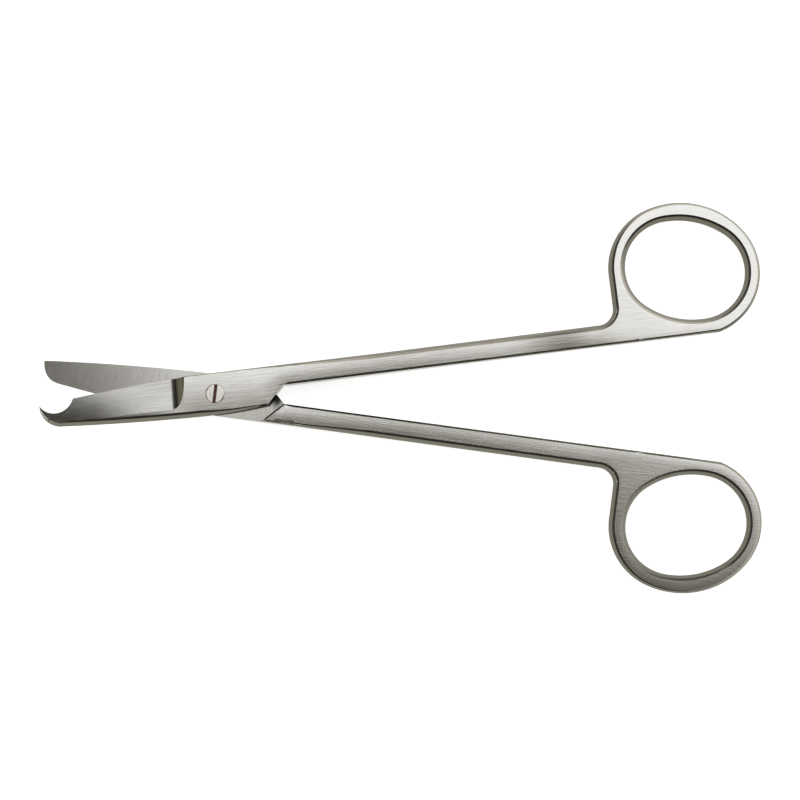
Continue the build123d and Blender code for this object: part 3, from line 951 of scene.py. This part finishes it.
class ScissorsSteel(PropertyGroup):
    """Finish of the steel, with tints of painted shade for the edges, the slot and the lap floor
    at the notch.
    """

    tint: colour_setting("Tint", "Colour of the bare steel", (0.63, 0.605, 0.575))
    # Dark olive of the edge finish: painted shade on the steep rounded edges, the walls and the
    # scoop's wall, in place of their dark reflections
    edge_shade_tint: colour_setting("Edge tint", "Colour of filed edges", (0.13545, 0.12705, 0.09775))
    # Dark red-brown inside the slot: painted shade of the recess
    slot_shade_tint: colour_setting("Slot tint", "Colour inside the slot", (0.126, 0.0605, 0.0575))
    # Near-black painted shade on the lap floor beside the notch, where the gap under the other
    # half's free edge lies in shadow
    notch_shade_colour: colour_setting("Residue", "Colour of old polish at the notch", (0.012, 0.011, 0.009))
    roughness: FloatProperty(
        name="Roughness",
        description="Roughness of the satin face",
        default=0.13,
        min=0.0,
        max=1.0,
        subtype="FACTOR",
    )
    grain: length_setting("Grain", "Depth of the brushing", 0.004)


class ScissorsStudio(PropertyGroup):
    """Camera and light."""

    aim: FloatVectorProperty(
        name="Aim",
        description="Point at the middle of the picture",
        subtype="TRANSLATION",
        size=3,
        default=(0.0351083, -0.0008513, 0.0022),
    )
    eye: FloatVectorProperty(
        name="Eye",
        description="Place of the camera",
        subtype="TRANSLATION",
        size=3,
        default=(0.0449025, -0.0290526, 0.3799360),
    )
    roll: FloatProperty(
        name="Roll",
        description="Turn of the camera about its own line of sight",
        default=radians(0.3825),
        subtype="ANGLE",
    )
    picture_width: length_setting(
        "Picture width", "Width that the picture shows at the aim", 800 * 0.1904,
    )
    card_level: FloatProperty(
        name="Card level",
        description="Brightness of the bright part of the sky",
        default=1.45,
        min=0.0,
    )
    side_level: FloatProperty(
        name="Side level",
        description="Brightness of the sky low down, all around",
        default=0.8,
        min=0.0,
    )
    sky_level: FloatProperty(
        name="Sky level",
        description="Brightness of the rest of the sky",
        default=0.14,
        min=0.0,
    )


def material(name):
    """Empty node material with a Principled shader and its output."""
    made = bpy.data.materials.new(name)
    made.use_nodes = True
    nodes = made.node_tree.nodes
    nodes.clear()
    shader = nodes.new("ShaderNodeBsdfPrincipled")
    output = nodes.new("ShaderNodeOutputMaterial")
    made.node_tree.links.new(shader.outputs["BSDF"], output.inputs["Surface"])
    return made, shader


def map_range(tree, value, low, high, to_low, to_high, kind="LINEAR"):
    """Output that runs from to_low to to_high while value runs from low to high."""
    node = tree.nodes.new("ShaderNodeMapRange")
    node.interpolation_type = kind
    tree.links.new(value, node.inputs["Value"])
    ends = {"From Min": low, "From Max": high, "To Min": to_low, "To Max": to_high}
    for name, number in ends.items():
        node.inputs[name].default_value = number
    return node.outputs["Result"]


def combined(tree, operation, first, second):
    """Output of a math node on two sockets or a socket and a number."""
    node = tree.nodes.new("ShaderNodeMath")
    node.operation = operation
    for place, value in enumerate((first, second)):
        if isinstance(value, float):
            node.inputs[place].default_value = value
        else:
            tree.links.new(value, node.inputs[place])
    return node.outputs["Value"]


def streaks(tree, turn, size, detail):
    """Noise whose features have the given size, in metres, along axes turned by turn about Z."""
    place = tree.nodes.new("ShaderNodeTexCoord")
    mapping = tree.nodes.new("ShaderNodeMapping")
    mapping.vector_type = "TEXTURE"
    mapping.inputs["Rotation"].default_value = (0.0, 0.0, turn)
    mapping.inputs["Scale"].default_value = size
    tree.links.new(place.outputs["Object"], mapping.inputs["Vector"])
    noise = tree.nodes.new("ShaderNodeTexNoise")
    noise.inputs["Scale"].default_value = 1.0
    noise.inputs["Detail"].default_value = detail
    noise.inputs["Roughness"].default_value = 0.6
    tree.links.new(mapping.outputs["Vector"], noise.inputs["Vector"])
    return noise.outputs["Fac"]


# Size of the scratches and of the streaks over them, in metres, along and across a half and on
# the screw; size of the clouds; and how the tint changes where steel is dulled or brightened
GRAIN_ALONG = ((0.0040, 0.00010, 0.00010), (0.0070, 0.00040, 0.00040))
GRAIN_ACROSS = ((0.00012, 0.0030, 0.0030), (0.00060, 0.0040, 0.0040))
GRAIN_TURNED = ((0.00030, 0.00008, 0.00030), (0.0010, 0.00030, 0.0010))
CLOUDS = (0.007, 0.005, 0.005)
DULLED = (0.93, 0.92, 0.90)
BRIGHTENED = 1.06
MATING_DULLNESS = 0.95
SCREW_BRIGHTNESS = 1.25
# Painted shade beside the notch, on the lap floor under the other half's free edge: where it fades
# across that edge and begins along it
NOTCH_SHADE_ACROSS = (0.0008, 0.0024)
NOTCH_SHADE_ALONG = (-0.0005, 0.0018)


def notch_shade_mask(tree, way):
    """Painted shade on the lap floor beside the other half's free edge, in place of the shadow in
    the gap there: it is full at that edge, fades over its breadth and begins a little way along
    the edge."""
    start, end = np.array(NOTCH_CORNER), np.array(KINK)
    run = np.arctan2(*(end - start)[::-1]) + HALF_TURN
    corner = placed(np.array([[*start, 0.0]]), True)[0]
    place = tree.nodes.new("ShaderNodeTexCoord")
    mapping = tree.nodes.new("ShaderNodeMapping")
    mapping.vector_type = "TEXTURE"
    mapping.inputs["Location"].default_value = (corner[0], way * corner[1], 0.0)
    mapping.inputs["Rotation"].default_value = (0.0, 0.0, way * run)
    tree.links.new(place.outputs["Object"], mapping.inputs["Vector"])
    parts = tree.nodes.new("ShaderNodeSeparateXYZ")
    tree.links.new(mapping.outputs["Vector"], parts.inputs["Vector"])
    across = combined(tree, "MULTIPLY", parts.outputs["Y"], -float(way))
    beside = map_range(tree, across, *NOTCH_SHADE_ACROSS, 1.0, 0.0, "SMOOTHSTEP")
    along = map_range(tree, parts.outputs["X"], *NOTCH_SHADE_ALONG, 0.0, 1.0, "SMOOTHSTEP")
    return combined(tree, "MULTIPLY", beside, along)


def brushed_steel(name, settings, tint, turn, grain, rough=1.0, depth=1.0, notch_shade_way=0):
    """Steel with fine scratches over broader streaks, both along the brushing, and faint clouds of
    handling: scratches bend the light and change its spread, streaks and clouds its tone. Where
    asked, a painted shade darkens the lap floor beside the other half's free edge."""
    made, shader = material(name)
    tree = made.node_tree
    scratches, bands = streaks(tree, turn, grain[0], 3.0), streaks(tree, turn, grain[1], 2.0)
    clouds = streaks(tree, turn, CLOUDS, 4.0)
    spread = settings.roughness * rough
    scratched = map_range(tree, scratches, 0.3, 0.7, 0.85 * spread, 1.12 * spread)
    handled = map_range(tree, clouds, 0.35, 0.7, 0.0, 0.10 * spread)
    tree.links.new(combined(tree, "ADD", scratched, handled), shader.inputs["Roughness"])
    shade = tree.nodes.new("ShaderNodeMix")
    shade.data_type = "RGBA"
    shade.inputs["A"].default_value = (*(tint * DULLED), 1.0)
    shade.inputs["B"].default_value = (*np.minimum(tint * BRIGHTENED, 1.0), 1.0)
    streaked = map_range(tree, bands, 0.25, 0.7, 0.35, 1.0)
    clouded = map_range(tree, clouds, 0.3, 0.75, 1.0, 0.7)
    tree.links.new(combined(tree, "MULTIPLY", streaked, clouded), shade.inputs["Factor"])
    colour = shade.outputs["Result"]
    # Painted shade: near black on the lap floor beside the other half's free edge, in place of the
    # gap's shadow
    if notch_shade_way:
        painted_shade = tree.nodes.new("ShaderNodeMix")
        painted_shade.data_type = "RGBA"
        painted_shade.inputs["B"].default_value = (*settings.notch_shade_colour, 1.0)
        tree.links.new(colour, painted_shade.inputs["A"])
        tree.links.new(notch_shade_mask(tree, notch_shade_way), painted_shade.inputs["Factor"])
        colour = painted_shade.outputs["Result"]
    tree.links.new(colour, shader.inputs["Base Color"])
    shader.inputs["Metallic"].default_value = 1.0
    bump = tree.nodes.new("ShaderNodeBump")
    bump.inputs["Strength"].default_value = 1.0
    bump.inputs["Distance"].default_value = settings.grain * depth
    height = combined(tree, "ADD", scratches, map_range(tree, bands, 0.0, 1.0, 0.0, 0.8))
    tree.links.new(height, bump.inputs["Height"])
    tree.links.new(bump.outputs["Normal"], shader.inputs["Normal"])
    return made


def half_steels(name, settings, turn):
    """Finishes of one half: satin along it, ground and mating faces across it, and its edges in a
    dark tint that is painted shade; the mating faces also carry painted shade beside the notch.
    """
    steel, edge = np.array(settings.tint), np.array(settings.edge_shade_tint)
    way = 1 if turn < 0 else -1
    made = {
        "satin": (steel, turn, GRAIN_ALONG, 1.0, 1.0, 0),
        "ground": (steel, turn, GRAIN_ALONG, 0.95, 1.3, 0),
        # The mating faces carry the painted shade beside the notch
        "mating": (steel * MATING_DULLNESS, turn - 0.1, GRAIN_ACROSS, 1.0, 0.5, way),
        # The edge finish's dark tint is painted shade: it darkens the steep roundings, the walls
        # and the scoop's wall as dark reflections would
        "edge": (edge, turn, GRAIN_ALONG, 1.4, 1.0, 0),
    }
    return {kind: brushed_steel(f"{name}_{kind}", settings, *row) for kind, row in made.items()}


class SCISSORS_OT_hook_half(Operator):
    """Build the half with the hooked blade and the screw's seat"""

    bl_idname = "scissors.hook_half"
    bl_label = "Hook half"

    def execute(self, context):
        scene = context.scene
        steels = half_steels("hook_half", scene.scissors_steel, HALF_TURN)
        patches = half_patches(True, scene.scissors_form)
        made = skin_object(
            "hook_half_skin", patches, lambda points: placed(points, True), steels, "hook_half"
        )
        return {"FINISHED"}


class SCISSORS_OT_plain_half(Operator):
    """Build the half with the plain blade and the screw's thread"""

    bl_idname = "scissors.plain_half"
    bl_label = "Plain half"

    def execute(self, context):
        scene = context.scene
        steels = half_steels("plain_half", scene.scissors_steel, -HALF_TURN)
        patches = half_patches(False, scene.scissors_form)
        made = skin_object(
            "plain_half_skin", patches, lambda points: placed(points, False), steels, "plain_half"
        )
        return {"FINISHED"}


class SCISSORS_OT_screw(Operator):
    """Build the slotted pivot screw"""

    bl_idname = "scissors.screw"
    bl_label = "Screw"

    def execute(self, context):
        settings = context.scene.scissors_steel
        # The slot's dark tint is painted shade of its recess
        bright, painted_shade = np.array(settings.tint) * SCREW_BRIGHTNESS, np.array(settings.slot_shade_tint)
        steels = {
            "turned": brushed_steel("screw_turned", settings, bright, SLOT_TURN, GRAIN_TURNED),
            "slot": brushed_steel(
                "screw_slot_shade", settings, painted_shade, SLOT_TURN, GRAIN_TURNED, rough=2.0
            ),
        }
        made = skin_object("pivot_screw_skin", screw_patches(), screwed_in, steels, "pivot_screw")
        return {"FINISHED"}


# Floor: half its length in metres, its colour, and the colour and strength that lift it to white
FLOOR_HALF = 0.6
FLOOR_COLOUR = (0.95, 0.95, 0.95, 1.0)
FLOOR_LIFT, FLOOR_LIFT_STRENGTH = (0.985, 1.0, 1.0, 1.0), 0.80
# Sky: the card's edges as slopes from straight up, each from dark to bright or back: its front,
# which draws in by a share of the slope to the side, its back, its slanting left and its right
CARD_FRONT, CARD_FRONT_DRAW = (0.06, 0.15), 0.45
CARD_BACK = (0.78, 0.95)
CARD_LEFT, CARD_LEFT_SLANT = (-0.150, -0.118), 0.27
CARD_RIGHT = (0.5, 0.8)
# The sky around the card dims from straight up to lower down and towards the front, and a bright
# ring lies low all around: rises at which that happens, and what is left
UPPER_SKY, UPPER_SKY_LEFT = (0.8, 0.94), 0.35
FRONT_SKY, FRONT_SKY_LEFT = (-0.6, 0.0), 0.4
LOW_RING = (0.52, 0.64)
WARM, COOL = (1.0, 0.97, 0.85, 1.0), (0.94, 0.975, 1.0, 1.0)


def build_floor(scene):
    """White table whose own colour, seen directly or mirrored, is lifted to white."""
    half = FLOOR_HALF
    corners = [(-half, -half, 0.0), (half, -half, 0.0), (half, half, 0.0), (-half, half, 0.0)]
    mesh = bpy.data.meshes.new("floor")
    mesh.from_pydata(corners, [], [(0, 1, 2, 3)])
    floor = bpy.data.objects.new("floor", mesh)
    scene.collection.objects.link(floor)
    made, shader = material("floor_white")
    tree = made.node_tree
    shader.inputs["Base Color"].default_value = FLOOR_COLOUR
    shader.inputs["Roughness"].default_value = 0.9
    shader.inputs["Emission Color"].default_value = FLOOR_LIFT
    path = tree.nodes.new("ShaderNodeLightPath")
    seen = combined(tree, "MAXIMUM", path.outputs["Is Camera Ray"], path.outputs["Is Glossy Ray"])
    seen = combined(tree, "MAXIMUM", seen, path.outputs["Is Transmission Ray"])
    lift = combined(tree, "MULTIPLY", seen, FLOOR_LIFT_STRENGTH)
    tree.links.new(lift, shader.inputs["Emission Strength"])
    mesh.materials.append(made)


def build_sky(scene, studio):
    """Sky with a bright soft card up and behind, on a dim warm ground that is bright low down:
    each edge of the card is a smooth step of the direction's slope from straight up. What the
    camera sees past the table is plain white."""
    world = bpy.data.worlds.new("studio")
    scene.world = world
    world.use_nodes = True
    tree = world.node_tree
    way = tree.nodes.new("ShaderNodeTexCoord")
    parts = tree.nodes.new("ShaderNodeSeparateXYZ")
    tree.links.new(way.outputs["Generated"], parts.inputs["Vector"])
    up = combined(tree, "MAXIMUM", parts.outputs["Z"], 0.05)
    right = combined(tree, "DIVIDE", parts.outputs["X"], up)
    back = combined(tree, "DIVIDE", parts.outputs["Y"], up)
    aside = combined(tree, "MULTIPLY", combined(tree, "ABSOLUTE", right, 0.0), CARD_FRONT_DRAW)
    drawn = combined(tree, "ADD", back, aside)
    slant = combined(tree, "ADD", right, combined(tree, "MULTIPLY", back, CARD_LEFT_SLANT))
    card = map_range(tree, drawn, *CARD_FRONT, 0.0, 1.0, "SMOOTHSTEP")
    for value, edge, levels in (
        (back, CARD_BACK, (1.0, 0.0)),
        (slant, CARD_LEFT, (0.0, 1.0)),
        (right, CARD_RIGHT, (1.0, 0.0)),
    ):
        step = map_range(tree, value, *edge, *levels, "SMOOTHSTEP")
        card = combined(tree, "MULTIPLY", card, step)
    rise = map_range(tree, parts.outputs["Z"], *UPPER_SKY, UPPER_SKY_LEFT, 1.0, "SMOOTHSTEP")
    front = map_range(tree, back, *FRONT_SKY, FRONT_SKY_LEFT, 1.0, "SMOOTHSTEP")
    dim = combined(tree, "MULTIPLY", combined(tree, "MULTIPLY", rise, front), studio.sky_level)
    ring = map_range(tree, parts.outputs["Z"], *LOW_RING, studio.side_level, 0.0, "SMOOTHSTEP")
    dim = combined(tree, "ADD", dim, ring)
    gain = combined(tree, "MULTIPLY", card, studio.card_level - studio.sky_level)
    background = tree.nodes["Background"]
    tone = tree.nodes.new("ShaderNodeMix")
    tone.data_type = "RGBA"
    tone.inputs["A"].default_value = WARM
    tone.inputs["B"].default_value = COOL
    tree.links.new(card, tone.inputs["Factor"])
    tree.links.new(tone.outputs["Result"], background.inputs["Color"])
    tree.links.new(combined(tree, "ADD", dim, gain), background.inputs["Strength"])
    plain = tree.nodes.new("ShaderNodeBackground")
    path = tree.nodes.new("ShaderNodeLightPath")
    seen = tree.nodes.new("ShaderNodeMixShader")
    plain.inputs["Color"].default_value = (1.0, 1.0, 1.0, 1.0)
    tree.links.new(path.outputs["Is Camera Ray"], seen.inputs["Fac"])
    tree.links.new(background.outputs["Background"], seen.inputs[1])
    tree.links.new(plain.outputs["Background"], seen.inputs[2])
    tree.links.new(seen.outputs["Shader"], tree.nodes["World Output"].inputs["Surface"])


def build_camera(scene, studio):
    """Camera at eye that looks at aim, upright along +Y but for its roll: its lens is to its
    sensor as its distance is to the width that it shows."""
    data = bpy.data.cameras.new("camera")
    camera = bpy.data.objects.new("camera", data)
    scene.collection.objects.link(camera)
    eye, aim = Vector(studio.eye), Vector(studio.aim)
    ahead = (aim - eye).normalized()
    right = ahead.cross(Vector((0.0, 1.0, 0.0))).normalized()
    up = right.cross(ahead)
    turned_right = right * cos(studio.roll) + up * sin(studio.roll)
    turned_up = up * cos(studio.roll) - right * sin(studio.roll)
    turned = Matrix((turned_right, turned_up, -ahead)).transposed()
    camera.matrix_world = Matrix.Translation(eye) @ turned.to_4x4()
    data.sensor_width = 36.0
    data.lens = data.sensor_width * (aim - eye).length / studio.picture_width
    scene.camera = camera


class SCISSORS_OT_stage(Operator):
    """Lay the table and set the sky and the camera"""

    bl_idname = "scissors.stage"
    bl_label = "Stage"

    def execute(self, context):
        scene = context.scene
        build_floor(scene)
        build_sky(scene, scene.scissors_studio)
        build_camera(scene, scene.scissors_studio)
        scene.view_settings.view_transform = "Standard"
        return {"FINISHED"}


class SCISSORS_PT_panel(Panel):
    """Settings and steps of the scissors"""

    bl_idname = "SCISSORS_PT_panel"
    bl_label = "Scissors"
    bl_space_type = "VIEW_3D"
    bl_region_type = "UI"
    bl_category = "Scissors"

    def draw(self, context):
        scene = context.scene
        for group in (scene.scissors_form, scene.scissors_steel, scene.scissors_studio):
            box = self.layout.box()
            for name in group.bl_rna.properties.keys():
                if name not in ("rna_type", "name"):
                    box.prop(group, name)
        for step in STEPS:
            self.layout.operator(step.bl_idname)


STEPS = (SCISSORS_OT_hook_half, SCISSORS_OT_plain_half, SCISSORS_OT_screw, SCISSORS_OT_stage)
CLASSES = (ScissorsForm, ScissorsSteel, ScissorsStudio, *STEPS, SCISSORS_PT_panel)


def register():
    for one in CLASSES:
        bpy.utils.register_class(one)
    bpy.types.Scene.scissors_form = PointerProperty(type=ScissorsForm)
    bpy.types.Scene.scissors_steel = PointerProperty(type=ScissorsSteel)
    bpy.types.Scene.scissors_studio = PointerProperty(type=ScissorsStudio)


def unregister():
    del bpy.types.Scene.scissors_studio
    del bpy.types.Scene.scissors_steel
    del bpy.types.Scene.scissors_form
    for one in reversed(CLASSES):
        bpy.utils.unregister_class(one)


def main():
    """Registers the add-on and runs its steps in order."""
    register()
    bpy.ops.scissors.hook_half()
    bpy.ops.scissors.plain_half()
    bpy.ops.scissors.screw()
    bpy.ops.scissors.stage()


if __name__ == "__main__":
    main()
